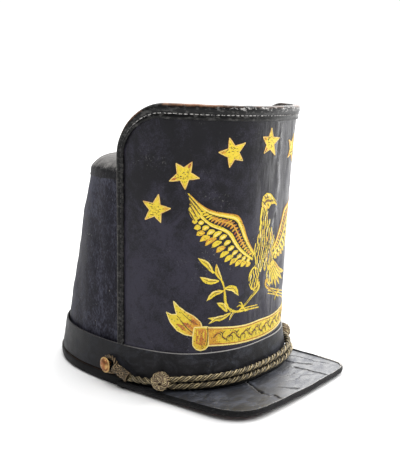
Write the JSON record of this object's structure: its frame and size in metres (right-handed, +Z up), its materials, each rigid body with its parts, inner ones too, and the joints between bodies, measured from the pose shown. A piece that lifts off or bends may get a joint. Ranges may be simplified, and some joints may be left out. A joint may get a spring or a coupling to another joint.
{
  "type": "shako hat",
  "caption": "Tall-fronted leather shako cap with a wrapped front plate, head band, square-cornered visor, and a twisted cap cord held at a button on each side.",
  "frame": {"origin": "under the middle of the hat's box, at the height of the base it rests on", "axes": "+Z up, the hat faces -Y, and the wearer's right is -X"},
  "size_m": [0.1926, 0.2474, 0.2286],
  "materials": {
    "crown_leather": "matt, rubbed grey in upright streaks, paler at the shoulder",
    "band_leather": "waxed, smudged, with a paler worn top edge",
    "rim_leather": "dark rolled edge, satin",
    "plate_leather": "varnished blue-black, satin, with fine scuffs",
    "binding_leather": "satin black, stitched, rubbed to brown along its edges",
    "visor_leather": "old varnish with long cracks, red-brown underneath",
    "cord_thread": "tarnished metal thread, twisted",
    "slide_thread": "brown thread, woven",
    "button_gilt": "gilt worn to copper, with a bright rim",
    "gold_paint": "yellow gilding with orange shading, cracked and flecked"
  },
  "bodies": {
    "root": {"base_rim": "rim_leather", "head_band": "band_leather", "crown_body": "crown_leather", "crown_top": "crown_leather", "front_plate": "plate_leather", "front_binding": "binding_leather", "visor": "visor_leather", "visor_binding": "binding_leather", "cord_upper": "cord_thread", "cord_lower": "cord_thread", "knot_right": "cord_thread", "knot_left": "cord_thread", "slide_right": "slide_thread", "slide_left": "slide_thread", "cord_tail_right": "cord_thread", "cord_tail_left": "cord_thread", "cord_loop_right": "cord_thread", "cord_loop_left": "cord_thread", "button_right": "button_gilt", "button_left": "button_gilt"}
  },
  "joints": []
}
